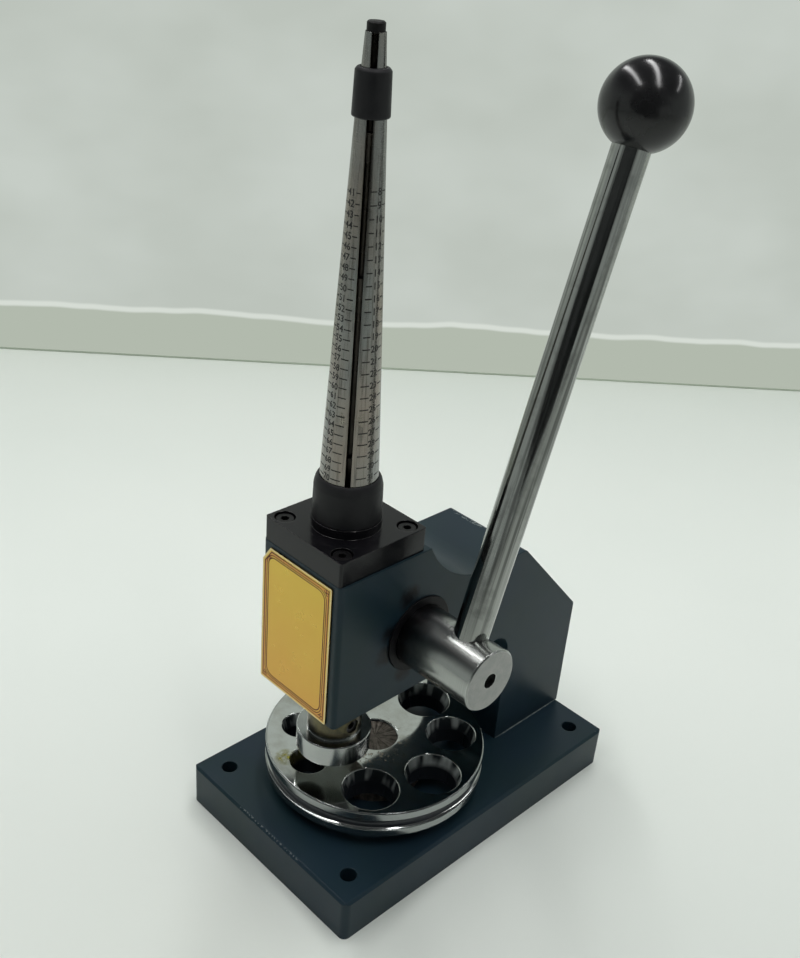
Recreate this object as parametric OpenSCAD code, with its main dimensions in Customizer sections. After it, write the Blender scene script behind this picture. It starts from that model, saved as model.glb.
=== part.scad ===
// Ring stretcher and reducer: a bench tool for resizing finger rings.
// Pulling the lever forward turns a pinion, which drives a round rack down inside the head.
// The rack pulls a draw rod that spreads the four segments of the upright mandrel, and its lower
// end presses rings into the tapered dies of a loose plate that stands on the base.
// Frame: +Z up, front is -Y, the lever is on the +X side. Origin at the middle of the base's
// underside. Millimetres. Everything is drawn at rest, with the lever back and the ram up.

/* [Base] */
// Width of the base, left to right
base_w = 103; // [95:1:120]
// Length of the base, front to back
base_l = 165; // [160:1:180]
// Thickness of the base
base_t = 20; // [18:0.5:24]
// Left to right spacing of the bench bolts
bench_pitch_x = 80; // [76:1:88]
// Front to back spacing of the bench bolts
bench_pitch_y = 142; // [138:1:146]
// Diameter of the bench bolt holes
bench_hole_d = 7; // [6:0.5:9]

/* [Frame] */
// Width of the painted frame
frame_w = 45.5; // [44:0.5:50]
// Distance of the ram's axis in front of the base's middle
ram_front = 46.5; // [45:0.5:48]
// Distance of the head's front face in front of the ram's axis
head_nose = 21.7; // [21:0.1:24]
// Height of the head's underside
head_bottom = 82; // [80:0.5:84]
// Height of the head's top face
head_top = 148; // [147:0.5:149]
// Height of the flat top of the arm
arm_top = 123.8; // [122:0.1:126]
// Radius of the hollow curve from the head down to the arm
arm_curve_r = 42; // [38:1:46]
// Distance of the ridge at the arm's rear behind the base's middle
ridge_back = 39.7; // [36:0.1:44]
// Height where the rear chamfer meets the upright's back
shoulder_h = 78.3; // [70:0.1:90]
// Distance of the upright's front face behind the base's middle
upright_front = 36.1; // [36:0.1:40]

/* [Drive] */
// Module of the pinion and rack
tooth_module = 1.5; // [1.5:0.1:1.5]
// Number of teeth on the pinion
pinion_teeth = 16; // [16:1:16]
// Height of the pinion's axis
shaft_h = 109.3; // [108:0.1:111]
// Diameter of the shaft at the lever
shaft_d = 26.5; // [26.5:0.1:27]
// Distance of the shaft's end from the middle plane
shaft_reach = 61.7; // [58:0.1:66]
// Diameter of the ram
ram_d = 23; // [23:0.1:23.4]
// Distance of the lever from the middle plane
lever_x = 47; // [44:0.5:50]
// Angle by which the lever leans back at rest
lever_lean = 16.2; // [10:0.1:22]
// Diameter of the lever
lever_d = 14; // [12:0.5:15]
// Distance from the shaft's axis to the middle of the ball
lever_len = 213.7; // [180:0.1:230]
// Diameter of the ball
ball_d = 32; // [30:0.5:36]

/* [Mandrel] */
// Height of the mandrel's top end
mandrel_top = 334; // [330:0.5:336]
// Radius of the mandrel where it leaves the cover
mandrel_r = 12.05; // [12:0.05:12.1]
// Loss of radius for each millimetre of height
mandrel_taper = 0.045; // [0.043:0.001:0.046]
// Width of the slots between the segments
slot_w = 2.2; // [1.2:0.1:2.4]

/* [Dies] */
// Diameter of the die plate
plate_d = 97; // [96:0.1:97]
// Thickness of the die plate
plate_t = 12.8; // [12:0.1:13]
// Height of the spindle's foot, which holds the plate off the base
foot_h = 6; // [5:0.1:7]
// Diameter of the circle that the dies lie on
die_circle_d = 68; // [67:0.5:68]
// Distance of the plate's middle in front of the base's middle, as it stands at rest
plate_front = 21; // [20:0.5:22]
// Bearings of the dies round the plate, anticlockwise from +X
die_bearings = [-46, 4, 52, 95.5, 137, 179, 221, 260];
// Diameters of the dies at the plate's top face, in the same order
die_diameters = [24.8, 24.6, 22.8, 24.2, 20.4, 18.2, 16.2, 16.8];

/* [Hidden] */
$fn = 64;

eps = 0.01;                 // overshoot of a cutter past the face it opens
bite = 0.01;                // brings a rounding's middle near, so that it crosses both faces
ram_y = -ram_front;         // ram and mandrel axis
frame_half = frame_w / 2;
frame_front = ram_y - head_nose;
frame_back = base_l / 2;
curve_z = arm_top + arm_curve_r;    // middle of the hollow curve
curve_start = -21.5;                // where the head's top face ends
curve_y = curve_start + sqrt(pow(arm_curve_r, 2) - pow(curve_z - head_top, 2));
throat_r = 10;

// Pinion and rack
pitch_r = tooth_module * pinion_teeth / 2;
addendum = 1.2;
dedendum = 1.7;
backlash = 0.14;
pressure = 20;
rack_line = 10;             // pitch line of the rack, behind the ram's axis
shaft_y = ram_y + rack_line + pitch_r;
shaft_r = shaft_d / 2;
tooth_half_x = 13.5;        // half the length of the toothed stretch
rack_pitch = PI * tooth_module;
rack_gaps = 7;

// Shaft bearings
run_gap = 0.05;             // radial clearance of a running fit
press_gap = 0.01;           // left between pressed pieces
bush_r = 16.65;             // outside of the right bush
core_r = 13.6;              // bore through the head for the pinion
bush_in = 14;               // inner end of the right bush
bush_proud = 0.8;           // how far a bush stands out of the head
washer_in = -frame_half - bush_proud - 0.1; // inner face of the washer
washer_t = 3;
left_journal_r = 9;

// Lever
lever_depth = 10;           // how far the rod goes past the shaft's axis
snug = 0.02;                // radial gap round a piece that is clamped in a hole
lock_r = 3.2;               // set screw in the shaft's end
knob_flat = lever_len - 14.2; // where the rod's shoulder meets the ball
insert_r = 6;

// Mandrel and its drive
cover_t = 10.3;
cover_top = head_top + cover_t;
cover_w = 43.8;
cover_len = 43.3;
cover_front = ram_y + 21.7 - cover_len;
collar_r = 13.7;
collar_top = cover_top + 3.7;
foot_r = 17.5;              // flange at the segments' feet
foot_t = 5;
recess_h = 5.2;             // hollow in the cover that holds the feet
seat_z = 308.3;             // step where the upper sleeve sits
seat_r = 5;
top_r = 3.5;
wedge = 0.0568;             // spread for each millimetre that the rod is drawn down
wedge_gap = 0.25;           // clearance between rod and segments
stem_r = 2;                 // rod above its last cone
rod_cones = [[172, 16, 4.2], [244, 12, 3.3], [294, 10, 2.5]]; // bottom height, length, small radius
tip_r = 3;                  // black head on the rod's end
tip_gap = 0.08;
tip_drop = 10;              // depth of the hollow that takes the tip as the rod goes down

hug = 0.03;                 // radial gap between a sleeve and the segments

// Die plate
plate_y = -plate_front;
plate_bottom = base_t + foot_h;
plate_top = plate_bottom + plate_t;
plate_r = plate_d / 2;
spindle_r = 9.8;

// Presser and the ram's lower end
presser_bottom = 48.9;
presser_t = 10.1;
presser_r = 15.8;
presser_floor = 2;          // thickness of metal under the ram's spigot
neck_r = 11.45;
neck_top = 74;
neck_screw_h = 64.5;
neck_screw_r = 2.95;
spigot_r = 7;
ram_top = 142.8;
nut_t = 5;
thread_depth = 20;          // of the draw rod in the ram

// Fasteners: cap screws M4 in the cover and M8 under the base and in the shaft
cover_screw_off = 16.5;     // from the ram's axis, both ways
cover_thread_r = 1.95;
cover_seat = cover_top - 4.6;
bolt_x = 13;
bolt_ys = [47, 71.5];
bolt_r = 3.95;
bolt_head_r = 6.5;
bolt_seat = 9;              // height of the bolt heads' bearing faces

steel = "#b9bcbc";
chrome = "#c9cccd";
paint = "#22303b";
blacked = "#1d1f22";
rubber = "#17181a";

function mandrel_at(z) = mandrel_r - mandrel_taper * (z - cover_top);

// ---------------------------------------------------------------- helpers

// Upright rod from height a to height b
module post(r, a, b) {
    translate([0, 0, a]) cylinder(r = r, h = b - a);
}

// Rod along X from a to b
module bar_x(r, a, b) {
    translate([a, 0, 0]) rotate([0, 90, 0]) cylinder(r = r, h = b - a);
}

// Cone with its radii at heights a and b
module taper(ra, rb, a, b) {
    translate([0, 0, a]) cylinder(r1 = ra, r2 = rb, h = b - a);
}

// Slab with rounded upright edges
module rounded_slab(w, l, r, h) {
    translate([-w / 2 + r, -l / 2, 0]) cube([w - 2 * r, l, h]);
    translate([-w / 2, -l / 2 + r, 0]) cube([w, l - 2 * r, h]);
    for (x = [-1, 1], y = [-1, 1])
        translate([x * (w / 2 - r), y * (l / 2 - r), 0]) cylinder(r = r, h = h);
}

// Takes an upright corner at the origin, pointing to -X -Y, down to radius r
module corner_cutter(r, h) {
    difference() {
        translate([-1, -1, -1]) cube([r + 1, r + 1, h + 2]);
        translate([r, r, -2]) cylinder(r = r, h = h + 4);
    }
}

// Cap screw standing on its thread: head from z = 0 up, thread below
module cap_screw(head_r, head_h, socket, thread_r, length) {
    difference() {
        union() {
            cylinder(r = head_r, h = head_h);
            post(thread_r, -length, 0);
        }
        translate([0, 0, head_h / 2]) cylinder(d = socket / cos(30), h = head_h, $fn = 6);
    }
}

// Grub screw on the +Z axis, with its socket at the top
module grub_screw(r, h) {
    difference() {
        cylinder(r = r, h = h);
        translate([0, 0, h - 2]) cylinder(d = 3 / cos(30), h = 3, $fn = 6);
    }
}

// ---------------------------------------------------------------- stand

module base_plate() {
    edge = 1;
    color(paint) difference() {
        intersection() {
            rounded_slab(base_w, base_l, 3, base_t);
            translate([0, base_l / 2, 0]) rotate([90, 0, 0]) linear_extrude(base_l)
                chamfered_outline(base_w, edge);
            translate([-base_w / 2, 0, 0]) rotate([90, 0, 90]) linear_extrude(base_w)
                chamfered_outline(base_l, edge);
        }
        for (x = [-1, 1], y = [-1, 1])
            translate([x * bench_pitch_x / 2, y * bench_pitch_y / 2, 0])
                post(bench_hole_d / 2, -1, base_t + 1);
        frame_bolt_places() {
            post(bolt_r + 0.4, -1, base_t + 1);
            post(bolt_head_r + 0.5, -1, bolt_seat);
        }
    }
}

// Side view of a slab whose top edges are chamfered
module chamfered_outline(w, c) {
    polygon([[-w / 2, 0], [w / 2, 0], [w / 2, base_t - c], [w / 2 - c, base_t],
        [-w / 2 + c, base_t], [-w / 2, base_t - c]]);
}

// Side view of the frame, drawn in Y and Z, with its curves still straight
module frame_outline() {
    polygon([[frame_front, head_bottom], [frame_front, head_top], [curve_start, head_top],
        [curve_y, arm_top], [ridge_back, arm_top], [frame_back, shoulder_h], [frame_back, base_t],
        [upright_front, base_t], [upright_front, head_bottom - throat_r],
        [upright_front - throat_r, head_bottom]]);
}

// Takes an outside corner at the point p, drawn in Y and Z, down to radius r. The two edges
// leave the corner at the angles a and b, and b is the larger.
module round_off(p, a, b, r) {
    half = (b - a) / 2;
    mid = [cos(a + half), sin(a + half)];
    run = r / tan(half);
    centre = p + mid * (r / sin(half) - bite);
    difference() {
        translate([-frame_w, 0, 0]) rotate([90, 0, 90]) linear_extrude(2 * frame_w)
            polygon([p + run * [cos(a), sin(a)], p - mid, p + run * [cos(b), sin(b)], centre]);
        translate([0, centre[0], centre[1]]) bar_x(r, -frame_w - 1, frame_w + 1);
    }
}

// Quarter of a round cutter along X, inside the square whose low corner, in radii, is given
module quarter_cutter(r, corner) {
    intersection() {
        bar_x(r, -frame_w, frame_w);
        translate([-frame_w, corner[0] * r, corner[1] * r]) cube([2 * frame_w, 2 * r, 2 * r]);
    }
}

module frame() {
    edge_r = 3;
    nose_r = 2;
    slope = atan2(arm_top - shoulder_h, ridge_back - frame_back);
    color(paint) difference() {
        translate([-frame_half, 0, 0]) rotate([90, 0, 90]) linear_extrude(frame_w) frame_outline();
        translate([0, curve_y, curve_z]) quarter_cutter(arm_curve_r, [-2, -2]);
        translate([0, upright_front - throat_r, head_bottom - throat_r])
            quarter_cutter(throat_r, [0, 0]);
        round_off([ridge_back, arm_top], 180, 180 + slope, edge_r);
        round_off([frame_back, shoulder_h], slope, 270, edge_r);
        translate([-frame_half, frame_front, head_bottom])
            corner_cutter(nose_r, head_top - head_bottom);
        translate([frame_half, frame_front, head_bottom]) mirror([1, 0, 0])
            corner_cutter(nose_r, head_top - head_bottom);
        translate([0, ram_y, 0]) post(ram_d / 2 + run_gap, head_bottom - 1, head_top + 1);
        translate([0, shaft_y, shaft_h]) {
            bar_x(core_r, -frame_half - 1, bush_in + 1);
            bar_x(bush_r + press_gap, bush_in, frame_half + 1);
        }
        cover_screw_places() post(cover_thread_r + run_gap, head_top - 14, head_top + 1);
        frame_bolt_places() post(bolt_r + run_gap, base_t - 1, base_t + 22);
    }
}

module frame_bolt_places() {
    for (x = [-1, 1], y = bolt_ys)
        translate([x * bolt_x, y, 0]) children();
}

module frame_bolts() {
    color(blacked) frame_bolt_places() translate([0, 0, bolt_seat]) mirror([0, 0, 1])
        cap_screw(bolt_head_r, 8, 6, bolt_r, 31);
}

module cover_screw_places() {
    for (x = [-1, 1], y = [-1, 1])
        translate([x * cover_screw_off, ram_y + y * cover_screw_off, 0]) children();
}

module mandrel_cover() {
    color(blacked) difference() {
        union() {
            translate([0, cover_front + cover_len / 2, head_top])
                rounded_slab(cover_w, cover_len, 1, cover_t);
            translate([0, ram_y, 0]) post(collar_r, cover_top - 1, collar_top);
        }
        translate([0, ram_y, 0]) {
            post(foot_r + 1.2, head_top - 1, head_top + recess_h);
            post(mandrel_r + 0.9, head_top, collar_top + 1);
        }
        cover_screw_places() {
            post(cover_thread_r + 0.3, head_top - 1, cover_top + 1);
            post(4.2, cover_seat, cover_top + 1);
        }
    }
}

module cover_screws() {
    color(blacked) cover_screw_places()
        translate([0, 0, cover_seat]) cap_screw(3.5, 4, 3, cover_thread_r, 16);
}

// Plate on the head's front, with one top corner cut off
module name_plate() {
    below = 0.3;                // bare strips under and over the plate
    above = 2;
    sheet_w = 40.5;
    sheet_h = head_top - head_bottom - below - above;
    sheet_t = 0.6;
    off_x = -1.8;
    cut = [4.5, 6.5];           // width and height of the missing corner
    corner = [-sheet_w / 2, sheet_h / 2];
    color("#bfa24b") translate([off_x, frame_front, head_bottom + below + sheet_h / 2])
        rotate([90, 0, 0]) difference() {
            rounded_slab(sheet_w, sheet_h, 0.8, sheet_t);
            translate([corner[0], corner[1], -1]) linear_extrude(sheet_t + 2)
                polygon([[-1, 1], [-1, -cut[1]], [0, -cut[1]], [cut[0], 0], [cut[0], 1]]);
        }
}

module shaft_bush_right() {
    color(blacked) translate([0, shaft_y, shaft_h]) difference() {
        bar_x(bush_r, bush_in, frame_half + bush_proud);
        bar_x(shaft_r + run_gap, bush_in - 1, frame_half + bush_proud + 1);
    }
}

module shaft_bush_left() {
    color("#8a6d35") translate([0, shaft_y, shaft_h]) difference() {
        bar_x(core_r - press_gap, -frame_half - bush_proud, -tooth_half_x - 0.1);
        bar_x(left_journal_r + run_gap, -frame_half - bush_proud - 1, -tooth_half_x + 1);
    }
}

// ---------------------------------------------------------------- lever

// Point of a tooth's flank, t being the involute's roll in radians and side +1 or -1
function flank(t, side) =
    let (base_r = pitch_r * cos(pressure),
        half = (rack_pitch / 2 - backlash) / (2 * pitch_r) * 180 / PI,
        spread = half + tan(pressure) * 180 / PI - pressure,
        a = side * (spread - (t * 180 / PI - atan(t))))
    [base_r * sqrt(1 + t * t), a];

// Outline of the pinion, with a gap between two teeth at 180 degrees
module pinion_outline() {
    base_r = pitch_r * cos(pressure);
    root_r = pitch_r - dedendum;
    roll_end = sqrt(pow((pitch_r + addendum) / base_r, 2) - 1);
    step = 360 / pinion_teeth;
    polar = [for (i = [0:pinion_teeth - 1])
        let (mid = (i + 0.5) * step, low = flank(0, 1)[1])
        each concat(
            [[root_r, mid - low - 0.8]],
            [for (k = [0:4]) let (p = flank(roll_end * k / 4, -1)) [p[0], mid + p[1]]],
            [for (k = [4:-1:0]) let (p = flank(roll_end * k / 4, 1)) [p[0], mid + p[1]]],
            [[root_r, mid + low + 0.8]])];
    polygon([for (p = polar) [p[0] * cos(p[1]), p[0] * sin(p[1])]]);
}

module pinion_shaft() {
    color(chrome) difference() {
        translate([0, shaft_y, shaft_h]) {
            translate([-tooth_half_x, 0, 0]) rotate([90, 0, 90])
                linear_extrude(2 * tooth_half_x + 0.4) pinion_outline();
            bar_x(left_journal_r, -frame_half - bush_proud - 0.05, -tooth_half_x + 1);
            bar_x(shaft_r, tooth_half_x + 0.4, shaft_reach - 0.6);
            translate([shaft_reach - 0.6, 0, 0]) rotate([0, 90, 0])
                cylinder(r1 = shaft_r, r2 = shaft_r - 0.6, h = 0.6);
        }
        on_lever() post(lever_d / 2 + snug, -lever_depth, shaft_r + 2);
        translate([0, shaft_y, shaft_h]) {
            bar_x(lock_r + run_gap, lever_x, shaft_reach + 1);
            bar_x(bolt_r + run_gap, -frame_half - 2, -6);
        }
    }
}

// Places its children on the lever: +Z runs along the rod, the shaft's axis is at z = 0
module on_lever() {
    translate([lever_x, shaft_y, shaft_h]) rotate([-lever_lean, 0, 0]) children();
}

module shaft_washer() {
    color(blacked) translate([0, shaft_y, shaft_h]) difference() {
        bar_x(14.5, washer_in - washer_t, washer_in);
        bar_x(bolt_r + 0.35, washer_in - washer_t - 1, washer_in + 1);
    }
}

module shaft_screw() {
    color(blacked) translate([washer_in - washer_t, shaft_y, shaft_h]) rotate([0, -90, 0])
        cap_screw(bolt_head_r, 8, 6, bolt_r, 16);
}

module lever_rod() {
    color(chrome) on_lever() {
        post(lever_d / 2, -lever_depth + 0.1, knob_flat);
        post(bolt_r, knob_flat - 1, lever_len - 1);
    }
}

module lever_lock_screw() {
    start = lever_x + lever_d / 2 + snug;
    color(blacked) translate([start, shaft_y, shaft_h]) rotate([0, 90, 0])
        grub_screw(lock_r, 4.5);
}

module ball_knob() {
    color("#101113") on_lever() difference() {
        translate([0, 0, lever_len]) sphere(d = ball_d, $fn = 96);
        post(lever_d, lever_len - ball_d, knob_flat);
        post(insert_r, knob_flat - 1, lever_len + 1);
    }
}

module knob_insert() {
    color("#b08a45") on_lever() difference() {
        post(insert_r, knob_flat, lever_len + 1);
        post(bolt_r + run_gap, knob_flat - 1, lever_len);
    }
}

// ---------------------------------------------------------------- ram

// Gap between two rack teeth, drawn in Y and Z about the pitch line
module rack_gap() {
    lean = tan(pressure);
    half = rack_pitch / 4;
    polygon([[-dedendum, -half + dedendum * lean], [-dedendum, half - dedendum * lean],
        [3, half + 3 * lean], [3, -half - 3 * lean]]);
}

module rack_ram() {
    color(steel) difference() {
        translate([0, ram_y, 0]) union() {
            post(ram_d / 2, neck_top, ram_top);
            post(spigot_r, presser_bottom + presser_floor, neck_top + 1);
        }
        translate([0, ram_y, 0]) post(bolt_r + run_gap, ram_top - thread_depth, ram_top + 1);
        for (i = [0:rack_gaps - 1])
            translate([-ram_d, ram_y + rack_line, shaft_h + (i - 1.5) * rack_pitch])
                rotate([90, 0, 90]) linear_extrude(2 * ram_d) rack_gap();
        translate([-ram_d, ram_y + rack_line + addendum, shaft_h - 2 * rack_pitch])
            cube([2 * ram_d, 10, (rack_gaps + 0.5) * rack_pitch]);
    }
}

// Rod with short cones, wide ends up, that spread the mandrel as it is drawn down
module draw_rod() {
    color(steel) translate([0, ram_y, 0]) {
        post(bolt_r, ram_top - thread_depth + 1, rod_cones[0][0]);
        for (c = rod_cones)
            taper(c[2], c[2] + wedge * c[1], c[0], c[0] + c[1]);
        for (i = [0:1])
            post(rod_cones[i + 1][2] - 0.2, rod_cones[i][0], rod_cones[i + 1][0] + 1);
        post(stem_r, rod_cones[2][0], mandrel_top - 0.3);
    }
}

module draw_rod_nut() {
    color(blacked) translate([0, ram_y, 0]) difference() {
        translate([0, 0, ram_top]) cylinder(d = 13 / cos(30), h = nut_t, $fn = 6);
        post(bolt_r + run_gap, ram_top - 1, ram_top + nut_t + 1);
    }
}

module draw_rod_tip() {
    top = mandrel_top + 3.1;
    edge = 0.5;
    color(blacked) translate([0, ram_y, 0]) {
        post(tip_r, mandrel_top - 0.3, top - edge);
        taper(tip_r, tip_r - edge, top - edge, top);
    }
}

module presser() {
    rim = 0.4;
    color(chrome) translate([0, ram_y, 0]) difference() {
        union() {
            taper(presser_r - rim, presser_r, presser_bottom, presser_bottom + rim);
            post(presser_r, presser_bottom + rim, presser_bottom + presser_t - rim);
            taper(presser_r, presser_r - rim, presser_bottom + presser_t - rim,
                presser_bottom + presser_t);
            post(neck_r, presser_bottom + presser_t - rim, neck_top);
        }
        post(spigot_r + snug, presser_bottom + presser_floor, neck_top + 1);
        translate([0, 0, neck_screw_h]) bar_x(neck_screw_r + run_gap, spigot_r - 1, neck_r + 1);
    }
}

module presser_screw() {
    color(blacked) translate([spigot_r + snug, ram_y, neck_screw_h]) rotate([0, 90, 0])
        grub_screw(neck_screw_r, 3.4);
}

// ---------------------------------------------------------------- mandrel

// Whole mandrel before it is slit, on the ram's axis
module mandrel_blank() {
    difference() {
        union() {
            post(foot_r, head_top + 0.05, head_top + foot_t + 0.05);
            taper(mandrel_at(head_top + 1), mandrel_at(seat_z), head_top + 1, seat_z);
            taper(seat_r, top_r, seat_z, mandrel_top);
        }
        post(5.6, head_top - 1, collar_top);
        post(rod_cones[0][2] + wedge_gap, collar_top - 1, rod_cones[0][0] + 1);
        for (c = rod_cones)
            taper(c[2] + wedge_gap, c[2] + wedge_gap + wedge * c[1], c[0], c[0] + c[1]);
        for (i = [0:1])
            post(rod_cones[i + 1][2] + wedge_gap, rod_cones[i][0], rod_cones[i + 1][0] + 1);
        post(stem_r + wedge_gap, rod_cones[2][0], mandrel_top);
        taper(tip_r + tip_gap - wedge * tip_drop * 0.65, tip_r + tip_gap,
            mandrel_top - tip_drop, mandrel_top + eps);
    }
}

// Quarter of the mandrel: 0 points to +X, 1 to +Y, 2 to -X, 3 to -Y
module mandrel_segment(quarter) {
    color(steel) translate([0, ram_y, 0]) intersection() {
        mandrel_blank();
        rotate([0, 0, quarter * 90 - 45]) translate([slot_w / 2, slot_w / 2, head_top - 1])
            cube([2 * foot_r, 2 * foot_r, mandrel_top]);
    }
}

// Rubber sleeves that hold the segments together. Each hugs the mandrel.
module lower_sleeve() {
    top = 179.3;
    edge = [[175.5, 1.8], [177.9, 1.3], [178.9, 0.75], [top, 0.3]]; // height, wall thickness
    color(rubber) translate([0, ram_y, 0]) difference() {
        union() {
            taper(13.4, mandrel_at(edge[0][0]) + edge[0][1], collar_top, edge[0][0]);
            for (i = [0:2])
                taper(mandrel_at(edge[i][0]) + edge[i][1], mandrel_at(edge[i + 1][0]) + edge[i + 1][1],
                    edge[i][0], edge[i + 1][0]);
        }
        taper(mandrel_at(collar_top - 1) + hug, mandrel_at(top + 1) + hug, collar_top - 1, top + 1);
    }
}

module upper_sleeve() {
    bottom = seat_z + 0.1;
    top = 323.7;
    edge = 1;
    slope = (seat_r - top_r) / (mandrel_top - seat_z);
    color(rubber) translate([0, ram_y, 0]) difference() {
        union() {
            taper(6, 6.35, bottom, bottom + 0.3);
            taper(6.35, 5.95, bottom + 0.3, top - edge);
            taper(5.95, 5.1, top - edge, top);
        }
        taper(seat_r + hug + slope, seat_r + hug - slope * (top + 1 - seat_z), seat_z - 1, top + 1);
    }
}

// ---------------------------------------------------------------- dies

module die_plate() {
    groove_mid = plate_bottom + plate_t / 2;
    groove_r = 2.75;
    groove_out = 0.6;           // how far outside the rim the groove's round is centred
    edge = 0.5;
    color(chrome) translate([0, plate_y, 0]) difference() {
        union() {
            taper(plate_r - edge, plate_r, plate_bottom, plate_bottom + edge);
            post(plate_r, plate_bottom + edge, plate_top - edge);
            taper(plate_r, plate_r - edge, plate_top - edge, plate_top);
        }
        rotate_extrude() translate([plate_r + groove_out, groove_mid]) circle(r = groove_r);
        post(spindle_r + run_gap, plate_bottom - 1, plate_top + 1);
        taper(spindle_r + run_gap, spindle_r + edge, plate_top - edge, plate_top + eps);
        for (i = [0:len(die_bearings) - 1])
            rotate([0, 0, die_bearings[i]]) translate([die_circle_d / 2, 0, 0])
                die_cutter(die_diameters[i] / 2);
    }
}

// Tapered die: a short chamfer at the top, then a bore that narrows downwards to a land
module die_cutter(r) {
    chamfer = 0.3;
    land = 7;
    throat = r - 1.9;
    taper(r - chamfer, r, plate_top - chamfer, plate_top + eps);
    taper(throat, r - chamfer, plate_bottom + land, plate_top - chamfer + eps);
    post(throat, plate_bottom - 1, plate_bottom + land + eps);
}

module plate_spindle() {
    color("#7d7468") translate([0, plate_y, 0]) {
        post(22, base_t, plate_bottom);
        post(spindle_r, plate_bottom - 1, plate_top - 0.9);
    }
}

base_plate();
frame();
frame_bolts();
mandrel_cover();
cover_screws();
name_plate();
shaft_bush_right();
shaft_bush_left();
pinion_shaft();
shaft_washer();
shaft_screw();
lever_rod();
lever_lock_screw();
ball_knob();
knob_insert();
rack_ram();
draw_rod();
draw_rod_nut();
draw_rod_tip();
presser();
presser_screw();
mandrel_segment(0);  // mandrel_segment_1
mandrel_segment(1);  // mandrel_segment_2
mandrel_segment(2);  // mandrel_segment_3
mandrel_segment(3);  // mandrel_segment_4
lower_sleeve();
upper_sleeve();
die_plate();
plate_spindle();
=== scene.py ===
"""Looks of the ring stretcher: camera, stage, light, finishes, size scales and plate print.

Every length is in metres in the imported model's frame: +Z up, front -Y, lever on the +X side.
Colours are given as they should appear on a display, from 0 to 255, and turned to linear values.
"""

from math import atan2, ceil, cos, pi, radians, sin

import bmesh
import bpy
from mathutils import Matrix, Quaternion, Vector


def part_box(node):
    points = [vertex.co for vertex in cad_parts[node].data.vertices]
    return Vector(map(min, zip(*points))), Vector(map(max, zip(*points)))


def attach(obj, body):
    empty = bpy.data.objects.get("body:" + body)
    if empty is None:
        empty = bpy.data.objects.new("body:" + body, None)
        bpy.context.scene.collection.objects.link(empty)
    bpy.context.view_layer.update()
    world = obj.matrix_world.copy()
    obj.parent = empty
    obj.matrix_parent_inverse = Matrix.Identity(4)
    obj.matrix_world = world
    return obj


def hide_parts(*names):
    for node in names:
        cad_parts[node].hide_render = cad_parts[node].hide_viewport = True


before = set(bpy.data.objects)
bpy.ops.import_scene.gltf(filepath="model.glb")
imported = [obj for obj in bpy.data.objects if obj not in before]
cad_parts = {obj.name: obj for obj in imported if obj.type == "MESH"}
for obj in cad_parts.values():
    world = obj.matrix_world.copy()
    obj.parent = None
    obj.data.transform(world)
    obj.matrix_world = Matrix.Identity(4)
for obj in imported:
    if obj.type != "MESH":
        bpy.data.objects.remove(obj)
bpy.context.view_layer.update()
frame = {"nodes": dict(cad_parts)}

MM = 0.001
UP = Vector((0, 0, 1))

# Camera, fitted to the photograph
CAMERA_AT = Vector((0.27266, -0.30246, 0.38202))
CAMERA_TARGET = Vector((-0.00133, -0.01769, 0.16676))
CAMERA_ROLL = 4.875
LENS, SENSOR_WIDTH = 42.934, 36.0
TOWARD_CAMERA = (CAMERA_AT - CAMERA_TARGET).to_2d().normalized().to_3d()    # level with the floor

# Main measures of the part, as in its source
RAM_AXIS_Y = -0.0465
RAM_AXIS = Vector((0, RAM_AXIS_Y, 0))    # the mandrel, the ram and the presser stand on it
MANDREL_R, MANDREL_Z, MANDREL_TAPER = 0.01205, 0.1583, 0.045
STEP_R, STEP_Z, STEP_TAPER = 0.005, 0.3083, 0.0584    # cone above the mandrel's step
SHAFT_AXIS = Vector((0.0, -0.0245, 0.1093))
LEVER_LEAN = radians(16.2)
PLATE_CENTRE = Vector((0.0, -0.021, 0.0388))
NAME_PLATE_X, NAME_PLATE_Z = (-0.02205, 0.01845), (0.0823, 0.1460)
NAME_PLATE_FRONT = -0.0688
NAME_PLATE_CUT = (0.0045, 0.0065)   # width and height of the corner missing at the top left
HEAD_SIDE = 0.02275
BASE_TOP = 0.020

# Bare and greasy places on the paint; at RIDGE_END and FRONT_EDGE the pale chips are also painted
# highlights
RIDGE_END, FRONT_EDGE = (-0.011, 0.0385, 0.1238), (0.0, -0.0820, 0.0200)
WORN_CORNERS = ((0.0485, 0.080, 0.020), (-0.0225, 0.060, 0.1))
GREASE_SPOTS = ((-0.0316, 0.1295, 2.5), (-0.0405, 0.1160, 1.5), (-0.0425, 0.1065, 2.0),
                (-0.0315, 0.0930, 1.5))    # (y, z, radius in mm) on the head's side

# Places on the die plate and in its bores
GREASE_DROP = (-0.0135, -0.0608, 0.0388)
RUST_PATCH = (0.004, -0.026, 0.0388)
OILY_BORE = (-0.0060, -0.0560, 0.0350)


def linear(red, green, blue):
    """Display colour, 0 to 255, as a linear RGBA value."""
    def one(v):
        v /= 255
        return v / 12.92 if v <= 0.04045 else ((v + 0.055) / 1.055) ** 2.4
    return (one(red), one(green), one(blue), 1.0)


def mandrel_radius(z):
    return MANDREL_R - MANDREL_TAPER * (z - MANDREL_Z)


def step_radius(z):
    return STEP_R - STEP_TAPER * (z - STEP_Z)


# ---------------------------------------------------------------- finishes

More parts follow.
